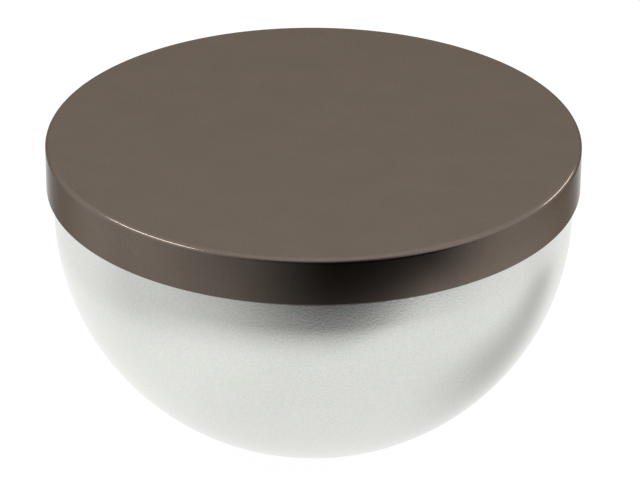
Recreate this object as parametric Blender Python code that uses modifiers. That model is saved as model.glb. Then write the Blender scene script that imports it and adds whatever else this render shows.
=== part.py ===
# Dappen dish: a satin metal bowl closed by a lift-off lid.
# The lid is an outer shell, a liner with a locating plug, and a seal ring round the plug.
# Lengths are in metres, +Z is up, and the axis of the dish is the world Z axis.

import math

import bpy

MM = 0.001
STEPS = 64
GAP = 0.3 * MM
SHARP_ANGLE = math.radians(30)

# Bowl
BOWL_RADIUS = 29.2 * MM
WALL = 1.5 * MM
SEAT_HEIGHT = 30.1 * MM
RIM_HEIGHT = SEAT_HEIGHT - GAP
BAND_HEIGHT = 3.1 * MM
EQUATOR_HEIGHT = SEAT_HEIGHT - BAND_HEIGHT
OUTER_DEPTH = 28.55 * MM
RIM_ROUND = 0.4 * MM
CURVE_POINTS = 15
RIM_POINTS = 3

# Lid shell
LID_RADIUS = 30.0 * MM
LID_HEIGHT = 5.4 * MM
LID_ROUND = 0.5 * MM
LID_POINTS = 6
LID_PLATE = 1.8 * MM
SKIRT_WALL = 1.6 * MM
SKIRT_ROUND = 0.2 * MM
SKIRT_POINTS = 2
BEAD_HEIGHT = 1.9 * MM
BEAD_REACH = 0.4 * MM
BEAD_HALF = 0.5 * MM

# Liner and its plug
LINER_RADIUS = LID_RADIUS - SKIRT_WALL - GAP
LINER_PLATE = 1.5 * MM
UPSTAND_WALL = 1.6 * MM
CLIP_DEPTH = 0.5 * MM
CLIP_HALF = 0.9 * MM
PLUG_RADIUS = 26.9 * MM
PLUG_WALL = 2.5 * MM
PLUG_DROP = 3.5 * MM
PLUG_LEAD = 0.5 * MM

# Seal ring
GROOVE_DEPTH = 1.0 * MM
GROOVE_HALF = 1.0 * MM
GROOVE_DROP = 1.7 * MM
SEAL_HALF = GROOVE_HALF - GAP
SEAL_OUTER = BOWL_RADIUS - WALL - GAP
SEAL_INNER = PLUG_RADIUS - GROOVE_DEPTH + GAP
SEAL_ROUND = 0.4 * MM
SEAL_POINTS = 3


def clear_scene():
    for obj in list(bpy.data.objects):
        bpy.data.objects.remove(obj, do_unlink=True)


def make_collection(name):
    collection = bpy.data.collections.new(name)
    bpy.context.scene.collection.children.link(collection)
    return collection


def principled(name, colour, roughness, metallic):
    material = bpy.data.materials.new(name)
    material.use_nodes = True
    shader = material.node_tree.nodes["Principled BSDF"]
    shader.inputs["Base Color"].default_value = (*colour, 1.0)
    shader.inputs["Roughness"].default_value = roughness
    shader.inputs["Metallic"].default_value = metallic
    material.diffuse_color = (*colour, 1.0)
    return material


def satin_metal():
    return principled("satin_metal", (0.66, 0.67, 0.62), 0.3, 1.0)


def gloss_brown_metal():
    return principled("gloss_brown_metal", (0.16, 0.126, 0.1), 0.2, 1.0)


def matt_brown_plastic():
    return principled("matt_brown_plastic", (0.12, 0.095, 0.078), 0.55, 0.0)


def dark_elastomer():
    return principled("dark_elastomer", (0.03, 0.03, 0.03), 0.7, 0.0)


# Points of a rounded corner about a centre, from one angle to another in degrees.
def arc(centre_r, centre_z, radius, start, end, count):
    points = []
    for i in range(count + 1):
        angle = math.radians(start + (end - start) * i / count)
        points.append((centre_r + radius * math.cos(angle), centre_z + radius * math.sin(angle)))
    return points


# Quarter ellipse below the equator, from the upright wall down to the given height.
def dome(radius, depth, floor_height):
    last = math.asin((EQUATOR_HEIGHT - floor_height) / depth)
    points = []
    for i in range(CURVE_POINTS + 1):
        angle = last * i / CURVE_POINTS
        points.append((radius * math.cos(angle), EQUATOR_HEIGHT - depth * math.sin(angle)))
    return points


# Replaces a profile by its swept surface, smooth except at its turned corners.
def keep_swept_surface(obj):
    graph = bpy.context.evaluated_depsgraph_get()
    swept = bpy.data.meshes.new_from_object(obj.evaluated_get(graph))
    obj.modifiers.clear()
    obj.data = swept
    swept.shade_smooth()
    swept.set_sharp_from_angle(angle=SHARP_ANGLE)


# Turned solid: the profile runs down the outer side and is swept round the Z axis.
def turned(name, profile, closed, material, collection):
    edges = [(i, i + 1) for i in range(len(profile) - 1)]
    if closed:
        edges.append((len(profile) - 1, 0))
    mesh = bpy.data.meshes.new(name)
    mesh.from_pydata([(r, 0.0, z) for r, z in profile], edges, [])
    mesh.materials.append(material)
    obj = bpy.data.objects.new(name, mesh)
    collection.objects.link(obj)
    sweep = obj.modifiers.new("sweep", "SCREW")
    sweep.axis = "Z"
    sweep.angle = 2 * math.pi
    sweep.steps = STEPS
    sweep.render_steps = STEPS
    sweep.use_merge_vertices = True
    sweep.merge_threshold = 0.00001
    keep_swept_surface(obj)
    return obj


def make_bowl(collection):
    inner_radius = BOWL_RADIUS - WALL
    inside = list(reversed(dome(inner_radius, OUTER_DEPTH - WALL, WALL)))
    outside = dome(BOWL_RADIUS, OUTER_DEPTH, 0.0)
    rim_inner = arc(inner_radius + RIM_ROUND, RIM_HEIGHT - RIM_ROUND, RIM_ROUND, 180, 90, RIM_POINTS)
    rim_outer = arc(BOWL_RADIUS - RIM_ROUND, RIM_HEIGHT - RIM_ROUND, RIM_ROUND, 90, 0, RIM_POINTS)
    profile = [(0.0, WALL)] + inside + rim_inner + rim_outer + outside + [(0.0, 0.0)]
    return turned("bowl", profile, False, satin_metal(), collection)


def make_lid_shell(collection):
    top = SEAT_HEIGHT + LID_HEIGHT
    bore = LID_RADIUS - SKIRT_WALL
    bead = SEAT_HEIGHT + BEAD_HEIGHT
    profile = [(0.0, top)]
    profile += arc(LID_RADIUS - LID_ROUND, top - LID_ROUND, LID_ROUND, 90, 0, LID_POINTS)
    skirt_centre = (LID_RADIUS - SKIRT_ROUND, SEAT_HEIGHT + SKIRT_ROUND)
    profile += arc(*skirt_centre, SKIRT_ROUND, 0, -90, SKIRT_POINTS)
    profile += [
        (bore, SEAT_HEIGHT),
        (bore, bead - BEAD_HALF),
        (bore - BEAD_REACH, bead),
        (bore, bead + BEAD_HALF),
        (bore, top - LID_PLATE),
        (0.0, top - LID_PLATE),
    ]
    return turned("lid_shell", profile, False, gloss_brown_metal(), collection)


def make_lid_liner(collection):
    under = SEAT_HEIGHT + GAP
    upstand_top = SEAT_HEIGHT + LID_HEIGHT - LID_PLATE - GAP
    clip = SEAT_HEIGHT + BEAD_HEIGHT
    groove = SEAT_HEIGHT - GROOVE_DROP
    plug_bottom = SEAT_HEIGHT - PLUG_DROP
    profile = [
        (0.0, under + LINER_PLATE),
        (LINER_RADIUS - UPSTAND_WALL, under + LINER_PLATE),
        (LINER_RADIUS - UPSTAND_WALL, upstand_top),
        (LINER_RADIUS, upstand_top),
        (LINER_RADIUS, clip + CLIP_HALF),
        (LINER_RADIUS - CLIP_DEPTH, clip),
        (LINER_RADIUS, clip - CLIP_HALF),
        (LINER_RADIUS, under),
        (PLUG_RADIUS, under),
        (PLUG_RADIUS, groove + GROOVE_HALF),
        (PLUG_RADIUS - GROOVE_DEPTH, groove + GROOVE_HALF),
        (PLUG_RADIUS - GROOVE_DEPTH, groove - GROOVE_HALF),
        (PLUG_RADIUS, groove - GROOVE_HALF),
        (PLUG_RADIUS, plug_bottom + PLUG_LEAD),
        (PLUG_RADIUS - PLUG_LEAD, plug_bottom),
        (PLUG_RADIUS - PLUG_WALL, plug_bottom),
        (PLUG_RADIUS - PLUG_WALL, under),
        (0.0, under),
    ]
    return turned("lid_liner", profile, False, matt_brown_plastic(), collection)


def make_seal_ring(collection):
    middle = SEAT_HEIGHT - GROOVE_DROP
    centre = SEAL_OUTER - SEAL_ROUND
    profile = arc(centre, middle + SEAL_HALF - SEAL_ROUND, SEAL_ROUND, 90, 0, SEAL_POINTS)
    profile += arc(centre, middle - SEAL_HALF + SEAL_ROUND, SEAL_ROUND, 0, -90, SEAL_POINTS)
    profile += [(SEAL_INNER, middle - SEAL_HALF), (SEAL_INNER, middle + SEAL_HALF)]
    return turned("seal_ring", profile, True, dark_elastomer(), collection)


def main():
    clear_scene()
    collection = make_collection("dappen_dish")
    make_bowl(collection)
    make_lid_shell(collection)
    make_lid_liner(collection)
    make_seal_ring(collection)


main()
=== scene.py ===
import math

import bpy
from mathutils import Matrix, Vector


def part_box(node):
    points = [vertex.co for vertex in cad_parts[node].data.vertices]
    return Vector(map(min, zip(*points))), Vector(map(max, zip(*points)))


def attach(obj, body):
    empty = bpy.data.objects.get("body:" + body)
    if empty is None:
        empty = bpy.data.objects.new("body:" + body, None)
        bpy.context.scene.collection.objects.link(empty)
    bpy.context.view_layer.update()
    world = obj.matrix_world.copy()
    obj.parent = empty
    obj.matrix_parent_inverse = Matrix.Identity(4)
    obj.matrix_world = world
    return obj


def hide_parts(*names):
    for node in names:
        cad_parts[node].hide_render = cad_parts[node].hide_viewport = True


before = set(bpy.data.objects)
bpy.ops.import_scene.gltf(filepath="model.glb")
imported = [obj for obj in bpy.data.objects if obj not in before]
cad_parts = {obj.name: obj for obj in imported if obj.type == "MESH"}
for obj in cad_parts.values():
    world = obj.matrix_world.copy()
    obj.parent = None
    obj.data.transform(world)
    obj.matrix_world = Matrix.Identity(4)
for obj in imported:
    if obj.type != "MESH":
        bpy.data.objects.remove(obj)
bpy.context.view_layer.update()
mm = 0.001
black = (0.0, 0.0, 0.0, 1.0)
white = (1.0, 1.0, 1.0, 1.0)
even = (1.0, 1.0, 1.0)  # no stretch
print("frame loaded:", ", ".join(sorted(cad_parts)))


class Wire:  # a socket that can stand in a sum
    def __init__(self, paint, socket):
        self.paint = paint
        self.socket = socket

    def joined(self, operation, first, second):
        made = self.paint.node("ShaderNodeMath", {"operation": operation}, {0: first, 1: second})
        return made["Value"]

    def __add__(self, other):
        return self.joined("ADD", self, other)

    def __radd__(self, other):
        return self.joined("ADD", other, self)

    def __sub__(self, other):
        return self.joined("SUBTRACT", self, other)

    def __rsub__(self, other):
        return self.joined("SUBTRACT", other, self)

    def __mul__(self, other):
        return self.joined("MULTIPLY", self, other)

    def __rmul__(self, other):
        return self.joined("MULTIPLY", other, self)


class Node:  # a shader node whose outputs are read by name or number
    def __init__(self, paint, made):
        self.paint = paint
        self.made = made

    def __getitem__(self, name):
        return Wire(self.paint, self.made.outputs[name])


class Paint:  # the node tree of one material, or of the world
    def __init__(self, owner):
        self.owner = owner
        owner.use_nodes = True
        self.tree = owner.node_tree
        self.tree.nodes.clear()

    def node(self, kind, settings, inputs):
        made = self.tree.nodes.new(kind)
        for name, value in settings.items():
            setattr(made, name, value)
        for name, value in inputs.items():
            if isinstance(value, Wire):
                self.tree.links.new(value.socket, made.inputs[name])
            else:
                made.inputs[name].default_value = value
        return Node(self, made)

    def place(self, stretch):  # the object's own coordinates, stretched
        where = self.node("ShaderNodeTexCoord", {}, {})["Object"]
        made = self.node("ShaderNodeVectorMath", {"operation": "MULTIPLY"}, {0: where, 1: stretch})
        return made["Vector"]

    def parts(self, vector):
        split = self.node("ShaderNodeSeparateXYZ", {}, {"Vector": vector})
        return split["X"], split["Y"], split["Z"]

    def noise(self, stretch, scale, detail):
        inputs = {"Vector": self.place(stretch), "Scale": scale, "Detail": detail}
        return self.node("ShaderNodeTexNoise", {}, inputs)["Fac"]

    def rise(self, value, start, end):  # 0 up to start, 1 from end on, smooth between
        settings = {"interpolation_type": "SMOOTHSTEP"}
        inputs = {"Value": value, "From Min": start, "From Max": end}
        return self.node("ShaderNodeMapRange", settings, inputs)["Result"]

    def bump(self, height, distance):
        return self.node("ShaderNodeBump", {}, {"Height": height, "Distance": distance})["Normal"]

    def mix(self, factor, first, second):
        inputs = {0: factor, 6: first, 7: second}
        return self.node("ShaderNodeMix", {"data_type": "RGBA"}, inputs)[2]

    def finish(self, inputs):
        shader = self.node("ShaderNodeBsdfPrincipled", {}, inputs)["BSDF"]
        self.node("ShaderNodeOutputMaterial", {}, {"Surface": shader})
        return self.owner


def newPaint(name):
    return Paint(bpy.data.materials.new(name))


def colour(red, green, blue):
    return (red, green, blue, 1.0)


def radians(angles):
    return [math.radians(angle) for angle in angles]


satinLook = {
    "light": colour(0.8, 0.81, 0.77),
    "dull": colour(0.6, 0.61, 0.57),
    "roughness": 0.17,
    "roughnessSpread": 0.04,
    "grainScale": 4200.0,  # pebbles about 0.25 mm across
    "grainStretch": (1.0, 1.0, 1.2),
    "grainDetail": 2.0,
    "grainHeight": 0.006 * mm,
    "grainShare": 0.8,  # of the colour's variation
    "patchScale": 160.0,
    "patchDetail": 3.0,
    "patchShare": 0.2,
}


def satinOutside():  # bead-blasted metal, with a fine pebbled grain
    paint = newPaint("satinOutside")
    look = satinLook
    grain = paint.noise(look["grainStretch"], look["grainScale"], look["grainDetail"])
    patch = paint.noise(even, look["patchScale"], look["patchDetail"])
    variation = grain * look["grainShare"] + patch * look["patchShare"]
    return paint.finish({
        "Base Color": paint.mix(variation, look["dull"], look["light"]),
        "Metallic": 1.0,
        "Roughness": look["roughness"] + look["roughnessSpread"] * patch,
        "Normal": paint.bump(grain, look["grainHeight"]),
    })


spunLook = {
    "light": colour(0.68, 0.69, 0.66),
    "dull": colour(0.62, 0.63, 0.60),
    "roughness": 0.26,
    "roughnessSpread": 0.08,
    "ringStretch": (0.02, 0.02, 1.0),
    "ringScale": 2600.0,
    "ringDetail": 1.0,
    "ringHeight": 0.004 * mm,
    "patchScale": 240.0,
    "patchDetail": 3.0,
}


def spunInside():  # the inside keeps faint rings from spinning
    paint = newPaint("spunInside")
    look = spunLook
    rings = paint.noise(look["ringStretch"], look["ringScale"], look["ringDetail"])
    patch = paint.noise(even, look["patchScale"], look["patchDetail"])
    return paint.finish({
        "Base Color": paint.mix(patch, look["dull"], look["light"]),
        "Metallic": 1.0,
        "Roughness": look["roughness"] + look["roughnessSpread"] * patch,
        "Normal": paint.bump(rings, look["ringHeight"]),
    })


lacquerLook = {
    "light": colour(0.218, 0.176, 0.146),
    "dull": colour(0.138, 0.113, 0.094),
    "metallic": 1.0,  # a flake lacquer: its shine is brown
    "edge": colour(0.36, 0.34, 0.32),  # and grows little towards the edge of sight
    "coat": 0.18,
    "coatRoughness": 0.06,
    "coatIOR": 1.4,
    "roughness": 0.14,
    "roughnessSpread": 0.03,
    "flakeScale": 4200.0,
    "flakeDetail": 2.0,
    "flakeHeight": 0.001 * mm,
    "flakeShare": 0.7,
    "hazeScale": 220.0,
    "hazeDetail": 4.0,
    "hazeShare": 0.3,
}


def brownLacquer():
    paint = newPaint("brownLacquer")
    look = lacquerLook
    haze = paint.noise(even, look["hazeScale"], look["hazeDetail"])
    flake = paint.noise(even, look["flakeScale"], look["flakeDetail"])
    variation = flake * look["flakeShare"] + haze * look["hazeShare"]
    return paint.finish({
        "Base Color": paint.mix(variation, look["dull"], look["light"]),
        "Metallic": look["metallic"],
        "Specular Tint": look["edge"],
        "Coat Weight": look["coat"],
        "Coat Roughness": look["coatRoughness"],
        "Coat IOR": look["coatIOR"],
        "Roughness": look["roughness"] + look["roughnessSpread"] * haze,
        "Normal": paint.bump(flake, look["flakeHeight"]),
    })


linerLook = {
    "light": colour(0.13, 0.103, 0.085),
    "dull": colour(0.105, 0.082, 0.066),
    "roughness": 0.48,
    "roughnessSpread": 0.12,
    "sparkScale": 3200.0,
    "sparkDetail": 3.0,
    "sparkHeight": 0.01 * mm,
    "hazeScale": 180.0,
    "hazeDetail": 3.0,
}


def mattLiner():  # moulded with a spark-eroded grain
    paint = newPaint("mattLiner")
    look = linerLook
    spark = paint.noise(even, look["sparkScale"], look["sparkDetail"])
    haze = paint.noise(even, look["hazeScale"], look["hazeDetail"])
    return paint.finish({
        "Base Color": paint.mix(haze, look["dull"], look["light"]),
        "Roughness": look["roughness"] + look["roughnessSpread"] * haze,
        "Normal": paint.bump(spark, look["sparkHeight"]),
    })


sealLook = {
    "light": colour(0.04, 0.04, 0.041),
    "dull": colour(0.022, 0.022, 0.022),
    "roughness": 0.6,
    "roughnessSpread": 0.15,
    "dustScale": 900.0,
    "dustDetail": 4.0,
    "dustHeight": 0.008 * mm,
}


def darkSeal():
    paint = newPaint("darkSeal")
    look = sealLook
    dust = paint.noise(even, look["dustScale"], look["dustDetail"])
    return paint.finish({
        "Base Color": paint.mix(dust, look["dull"], look["light"]),
        "Roughness": look["roughness"] + look["roughnessSpread"] * dust,
        "Normal": paint.bump(dust, look["dustHeight"]),
    })


flank = 0.15  # how far beyond a rounding its side point lies, in roundings


# Rounds the corners of an outline of (radius, height, rounding) and adds a point
# either side of each rounding, so that flats stay flat when shaded smooth.
def roundedOutline(corners, closed, steps=8):
    points = []
    count = len(corners)
    for i, (r, z, rounding) in enumerate(corners):
        here = Vector((r, z))
        isEnd = not closed and i in (0, count - 1)
        if isEnd or rounding == 0:
            points.append(here)
            continue
        back = (Vector(corners[i - 1][:2]) - here).normalized()
        ahead = (Vector(corners[(i + 1) % count][:2]) - here).normalized()
        half = back.angle(ahead) / 2
        reach = rounding / math.tan(half)
        centre = here + (back + ahead).normalized() * (rounding / math.sin(half))
        start = here + back * reach
        end = here + ahead * reach
        first = math.atan2(start.y - centre.y, start.x - centre.x)
        turn = math.atan2(end.y - centre.y, end.x - centre.x) - first
        turn = (turn + math.pi) % (2 * math.pi) - math.pi
        points.append(start + back * (rounding * flank))
        for k in range(steps + 1):
            angle = first + turn * k / steps
            points.append(centre + rounding * Vector((math.cos(angle), math.sin(angle))))
        points.append(end + ahead * (rounding * flank))
    return [(max(p.x, 0.0), p.y) for p in points]


def lathe(name, outline, closed, materials, slotOf, segments=288):
    spots, starts, faces, slots = [], [], [], []
    for r, z in outline:
        starts.append((len(spots), r == 0.0))
        for j in range(1 if r == 0.0 else segments):
            angle = 2 * math.pi * j / segments
            spots.append((r * math.cos(angle), r * math.sin(angle), z))
    last = len(outline) if closed else len(outline) - 1
    for i in range(last):
        (a, aPoint), (b, bPoint) = starts[i], starts[(i + 1) % len(outline)]
        for j in range(segments):
            k = (j + 1) % segments
            if aPoint:
                faces.append((a, b + j, b + k))
            elif bPoint:
                faces.append((a + j, b, a + k))
            else:
                faces.append((a + j, b + j, b + k, a + k))
            slots.append(slotOf(i))
    mesh = bpy.data.meshes.new(name)
    mesh.from_pydata(spots, [], faces)
    for material in materials:
        mesh.materials.append(material)
    mesh.polygons.foreach_set("material_index", slots)
    mesh.shade_smooth()
    made = bpy.data.objects.new(name, mesh)
    bpy.context.scene.collection.objects.link(made)
    return made


bowlSize = {
    "wall": 1.5 * mm,
    "band": 3.1 * mm,  # upright band below the lid's seat
    "seatGap": 0.3 * mm,
    "outerDepth": 28.55 * mm,
    "rimRound": 0.15 * mm,
    "innerRing": 0.9,  # the flat's own ring, as a share of its radius
    "outerRing": 0.95,
    "domePoints": 72,
}


def dome(radius, depth, equator, floor):
    last = math.asin((equator - floor) / depth)
    count = bowlSize["domePoints"]
    angles = [last * i / count for i in range(count + 1)]
    return [(radius * math.cos(a), equator - depth * math.sin(a)) for a in angles]


def makeBowl():
    low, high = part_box("bowl")
    size = bowlSize
    radius, rim, wall = high.x, high.z, size["wall"]
    equator = rim + size["seatGap"] - size["band"]
    inside = dome(radius - wall, size["outerDepth"] - wall, equator, wall)[::-1]
    outside = dome(radius, size["outerDepth"], equator, low.z)
    innerFlat, outerFlat = inside[0][0], outside[-1][0]
    rimCorners = [
        (radius - wall, equator, 0),
        (radius - wall, rim, size["rimRound"]),
        (radius, rim, size["rimRound"]),
        (radius, equator, 0),
    ]
    rimOutline = roundedOutline(rimCorners, False)
    outline = [(0.0, wall), (innerFlat * size["innerRing"], wall)] + inside + rimOutline[1:-1]
    insideCount = len(outline) - len(rimOutline) // 2
    outline += outside + [(outerFlat * size["outerRing"], low.z), (0.0, low.z)]
    looks = [spunInside(), satinOutside()]
    bowl = lathe("satinBowl", outline, False, looks, lambda i: 0 if i < insideCount else 1)
    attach(bowl, "dish")
    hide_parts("bowl")
    print("bowl made:", len(outline), "rings")


lidSize = {
    "edgeRound": 0.5 * mm,
    "footRound": 0.07 * mm,
    "plate": 1.8 * mm,
    "skirt": 1.6 * mm,
    "beadUp": 1.9 * mm,
    "beadHalf": 0.5 * mm,
    "beadReach": 0.4 * mm,
    "boreRound": 0.1 * mm,
    "beadRound": 0.12 * mm,
    "roofRound": 0.3 * mm,
}


def makeLidShell():
    low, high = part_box("lid_shell")
    size = lidSize
    radius, top, foot = high.x, high.z, low.z
    bore, bead = radius - size["skirt"], foot + size["beadUp"]
    corners = [
        (0.0, top, 0),
        (radius, top, size["edgeRound"]),
        (radius, foot, size["footRound"]),
        (bore, foot, size["boreRound"]),
        (bore, bead - size["beadHalf"], size["boreRound"]),
        (bore - size["beadReach"], bead, size["beadRound"]),
        (bore, bead + size["beadHalf"], size["boreRound"]),
        (bore, top - size["plate"], size["roofRound"]),
        (0.0, top - size["plate"], 0),
    ]
    outline = roundedOutline(corners, False)
    shell = lathe("lidShell", outline, False, [brownLacquer()], lambda i: 0)
    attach(shell, "lid")
    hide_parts("lid_shell")
    print("lid shell made:", len(outline), "rings")


linerSize = {
    "plate": 1.5 * mm,
    "upstand": 1.6 * mm,
    "clipDepth": 0.5 * mm,
    "clipHalf": 0.9 * mm,
    "plugRadius": 26.9 * mm,
    "plugWall": 2.5 * mm,
    "plugLead": 0.5 * mm,
    "grooveDepth": 1.0 * mm,
    "grooveHalf": 1.0 * mm,
    "grooveDrop": 1.7 * mm,
    "cornerRound": 0.12 * mm,
    "upstandRound": 0.2 * mm,
    "plateRound": 0.3 * mm,
    "plugRound": 0.3 * mm,
    "roofRound": 0.4 * mm,
}


def makeLiner():
    low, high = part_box("lid_liner")
    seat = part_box("lid_shell")[0].z
    size = linerSize
    under = seat + bowlSize["seatGap"]
    radius, plug, clip = high.x, size["plugRadius"], seat + lidSize["beadUp"]
    groove = seat - size["grooveDrop"]
    bottom = plug - size["grooveDepth"]
    small = size["cornerRound"]
    corners = [
        (0.0, under + size["plate"], 0),
        (radius - size["upstand"], under + size["plate"], size["plateRound"]),
        (radius - size["upstand"], high.z, size["upstandRound"]),
        (radius, high.z, size["upstandRound"]),
        (radius, clip + size["clipHalf"], small),
        (radius - size["clipDepth"], clip, small),
        (radius, clip - size["clipHalf"], small),
        (radius, under, small),
        (plug, under, small),
        (plug, groove + size["grooveHalf"], small),
        (bottom, groove + size["grooveHalf"], small),
        (bottom, groove - size["grooveHalf"], small),
        (plug, groove - size["grooveHalf"], small),
        (plug, low.z + size["plugLead"], small),
        (plug - size["plugLead"], low.z, small),
        (plug - size["plugWall"], low.z, size["plugRound"]),
        (plug - size["plugWall"], under, size["roofRound"]),
        (0.0, under, 0),
    ]
    outline = roundedOutline(corners, False, 4)
    liner = lathe("lidLiner", outline, False, [mattLiner()], lambda i: 0)
    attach(liner, "lid")
    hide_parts("lid_liner")
    print("liner made:", len(outline), "rings")


sealSize = {
    "inner": 26.2 * mm,
    "innerRound": 0.15 * mm,
    "lip": 0.25 * mm,
    "waist": 0.28 * mm,  # depth of the notch between the two lips
    "waistHalf": 0.1 * mm,
    "waistRound": 0.08 * mm,
}


def makeSeal():
    low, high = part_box("seal_ring")
    size = sealSize
    outer, middle = high.x, (low.z + high.z) / 2
    corners = [
        (size["inner"], high.z, size["innerRound"]),
        (outer, high.z, size["lip"]),
        (outer, middle + size["waistHalf"], size["waistRound"]),
        (outer - size["waist"], middle, size["waistRound"]),
        (outer, middle - size["waistHalf"], size["waistRound"]),
        (outer, low.z, size["lip"]),
        (size["inner"], low.z, size["innerRound"]),
    ]
    outline = roundedOutline(corners, True, 5)
    seal = lathe("sealRing", outline, True, [darkSeal()], lambda i: 0)
    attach(seal, "lid")
    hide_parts("seal_ring")
    print("seal made:", len(outline), "rings")


studio = {
    "floorHalf": 6.0,
    "floorTone": 0.1,
    "floorRoughness": 0.9,
    "floorGlow": 0.945,
    # The hidden sheet glows though it is no lamp; its glow carries painted shade and painted
    # light.
    "tableGlow": 1.08,
    "roomGlow": 1.0,
    "shadeLift": -0.3 * mm,  # the sheet with painted shade lies just under the pale floor
    "lampDistance": 330 * mm,
}

# Painted shade on the glowing sheet: pale near the dish and dark in front, where the dish mirrors
# it.
paintedFrontShade = {
    "level": 0.93,  # away from the painted bright patch, near on the left
    "brightLeft": (8 * mm, 30 * mm),
    "brightFar": (48 * mm, 62 * mm),
    "depth": 0.99,
    "start": 49 * mm,  # how far from the axis the painted shade begins
    "startShift": 32 * mm,  # farther on the right
    "shift": (5, 45),  # degrees from straight in front
    "end": 93 * mm,
    "left": (-70, 8),
    "right": (42, 80),
}

# Weaker painted shades on the sheet: a broad one on the left, a narrow and a far one on the right.
sideShade = {
    "leftDepth": 0.2,
    "leftAcross": (34 * mm, 66 * mm),
    "leftAlong": (-10 * mm, 26 * mm),
    "rightDepth": 0.36,
    "rightTurn": 37,  # degrees from the X axis
    "rightMiddle": -28 * mm,
    "rightHalf": (0 * mm, 19 * mm),
    "rightFrom": (-6 * mm, 22 * mm),
    "rightTo": (52 * mm, 70 * mm),
    "farDepth": 0.24,
    "farFrom": (80 * mm, 88 * mm),
    "farTurn": (40, 70),
}

# The room is dim straight in front up to eye height, and bright overhead.
roomShade = {
    "depth": 0.95,
    "left": (-60, -8),  # degrees from straight in front
    "right": (14, 70),
    "height": (8, 72),
}

# Each lamp: turn from straight in front, rise, width, height, power.
lamps = {
    "leftLamp": (-80, 47, 220, 26, 0.2),
    "rightLamp": (122, 26, 150, 26, 0.11),
}


def around(turn, rise, distance):  # a place seen from the dish
    turn, rise = math.radians(turn), math.radians(rise)
    flat = distance * math.cos(rise)
    return Vector((flat * math.sin(turn), -flat * math.cos(turn), distance * math.sin(rise)))


def makeSheet(name, height, material):
    half = studio["floorHalf"]
    signs = [(-1, -1), (1, -1), (1, 1), (-1, 1)]
    corners = [(half * across, half * along, height) for across, along in signs]
    mesh = bpy.data.meshes.new(name)
    mesh.from_pydata(corners, [], [(0, 1, 2, 3)])
    mesh.materials.append(material)
    made = bpy.data.objects.new(name, mesh)
    bpy.context.scene.collection.objects.link(made)
    return made


def paleFloor():
    tone = studio["floorTone"]
    return newPaint("paleFloor").finish({
        "Base Color": colour(tone, tone, tone),
        "Roughness": studio["floorRoughness"],
        "Specular IOR Level": 0.0,
        "Emission Color": white,
        "Emission Strength": studio["floorGlow"],
    })


# A glowing sheet seen only in reflections and diffuse light, not a real table. Its painted shade
# is dark in front and in bands at the sides, with a painted bright patch near on the left.
def paintedShadeSheet():  # what the dish mirrors below the horizon
    paint = newPaint("paintedShadeSheet")
    where = paint.place(even)
    x, y = paint.parts(where)[:2]
    far = paint.node("ShaderNodeVectorMath", {"operation": "LENGTH"}, {0: where})["Value"]
    t, side = paintedFrontShade, sideShade
    fore = 0.0 - y
    bearing = paint.node("ShaderNodeMath", {"operation": "ARCTAN2"}, {0: x, 1: fore})["Value"]
    start = t["start"] + t["startShift"] * paint.rise(bearing, *radians(t["shift"]))
    fromLeft = paint.rise(bearing, *radians(t["left"]))
    fromRight = 1.0 - paint.rise(bearing, *radians(t["right"]))
    front = paint.rise(far, start, t["end"]) * fromLeft * fromRight * t["depth"]
    bright = paint.rise(0.0 - x, *t["brightLeft"]) * (1.0 - paint.rise(far, *t["brightFar"]))
    level = t["level"] + (1.0 - t["level"]) * bright
    farShade = paint.rise(far, *side["farFrom"]) * paint.rise(bearing, *radians(side["farTurn"]))
    broad = paint.rise(0.0 - x, *side["leftAcross"]) * paint.rise(fore, *side["leftAlong"])
    turn = math.radians(side["rightTurn"])
    along = x * math.cos(turn) + y * math.sin(turn)
    across = y * math.cos(turn) - x * math.sin(turn) - side["rightMiddle"]
    off = paint.node("ShaderNodeMath", {"operation": "ABSOLUTE"}, {0: across})["Value"]
    narrow = paint.rise(along, *side["rightFrom"]) * (1.0 - paint.rise(along, *side["rightTo"]))
    narrow = narrow * (1.0 - paint.rise(off, *side["rightHalf"]))
    # Painted shade and painted light: they set how strongly each spot of the sheet glows.
    light = level * (1.0 - front) * (1.0 - broad * side["leftDepth"])
    light = light * (1.0 - narrow * side["rightDepth"]) * (1.0 - farShade * side["farDepth"])
    return paint.finish({
        "Base Color": black,
        "Roughness": studio["floorRoughness"],
        "Specular IOR Level": 0.0,
        "Emission Color": paint.mix(light, black, white),
        "Emission Strength": studio["tableGlow"],
    })


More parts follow.
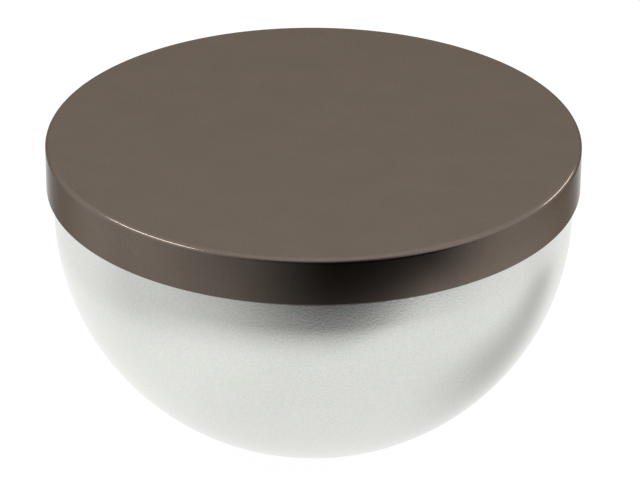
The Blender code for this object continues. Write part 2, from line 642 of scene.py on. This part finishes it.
def makeRoom():  # the world's light by direction; straight views of it stay pale
    world = bpy.data.worlds.new("paleRoom")
    paint = Paint(world)
    where = paint.node("ShaderNodeTexCoord", {}, {})["Generated"]
    x, y, z = paint.parts(where)
    turn = paint.node("ShaderNodeMath", {"operation": "ARCTAN2"}, {0: x, 1: 0.0 - y})["Value"]
    height = paint.node("ShaderNodeMath", {"operation": "ARCSINE"}, {0: z})["Value"]
    r = roomShade
    fromLeft = paint.rise(turn, *radians(r["left"]))
    fromRight = 1.0 - paint.rise(turn, *radians(r["right"]))
    low = 1.0 - paint.rise(height, *radians(r["height"]))
    light = 1.0 - fromLeft * fromRight * low * r["depth"]
    straight = paint.node("ShaderNodeLightPath", {}, {})["Is Camera Ray"]
    lit = light * studio["roomGlow"]
    shown = lit + straight * (1.0 - lit)
    tone = paint.mix(shown, black, white)
    background = paint.node("ShaderNodeBackground", {}, {"Color": tone, "Strength": 1.0})
    paint.node("ShaderNodeOutputWorld", {}, {"Surface": background["Background"]})
    bpy.context.scene.world = world


def makeLamps():
    for name, (turn, rise, width, height, power) in lamps.items():
        lamp = bpy.data.lights.new(name, "AREA")
        lamp.shape = "RECTANGLE"
        lamp.size, lamp.size_y, lamp.energy = width * mm, height * mm, power
        made = bpy.data.objects.new(name, lamp)
        made.location = around(turn, rise, studio["lampDistance"])
        made.rotation_euler = (-made.location).to_track_quat("-Z", "Y").to_euler()
        made.visible_camera = False
        bpy.context.scene.collection.objects.link(made)


def makeStudio():
    floor = makeSheet("floor", 0.0, paleFloor())
    floor.visible_glossy = False
    floor.visible_diffuse = False
    # The sheet with painted shade is hidden from the camera; the dish sees it only in reflections.
    makeSheet("paintedShadeSheet", studio["shadeLift"], paintedShadeSheet()).visible_camera = False
    makeRoom()
    makeLamps()
    bpy.context.scene.view_settings.view_transform = "Standard"
    print("studio made")


view = {
    "elevation": 26.41,
    "distance": 420 * mm,
    "lens": 209.87,
    "lower": 1.012,  # degrees that the camera aims below the lid
    "aside": 0.1044,
    "roll": 0.2178,
}


def makeCamera():
    target = Vector((0, 0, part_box("lid_shell")[0].z))
    rise = math.radians(view["elevation"])
    lower, aside, roll = (math.radians(view[name]) for name in ("lower", "aside", "roll"))
    right, ahead = Vector((1, 0, 0)), Vector((0, math.cos(rise), -math.sin(rise)))
    up = right.cross(ahead)
    place = target - ahead * view["distance"]
    ahead = ahead * math.cos(lower) - up * math.sin(lower)
    up = right.cross(ahead)
    ahead = ahead * math.cos(aside) + right * math.sin(aside)
    right = ahead.cross(up)
    level = right
    right = level * math.cos(roll) + up * math.sin(roll)
    up = up * math.cos(roll) - level * math.sin(roll)
    lens = bpy.data.cameras.new("camera")
    lens.lens = view["lens"]
    camera = bpy.data.objects.new("camera", lens)
    turned = Matrix((right, up, -ahead)).transposed().to_4x4()
    camera.matrix_world = Matrix.Translation(place) @ turned
    bpy.context.scene.collection.objects.link(camera)
    bpy.context.scene.camera = camera
    print("camera made")


makeCamera()
makeBowl()
makeLidShell()
makeLiner()
makeSeal()
makeStudio()
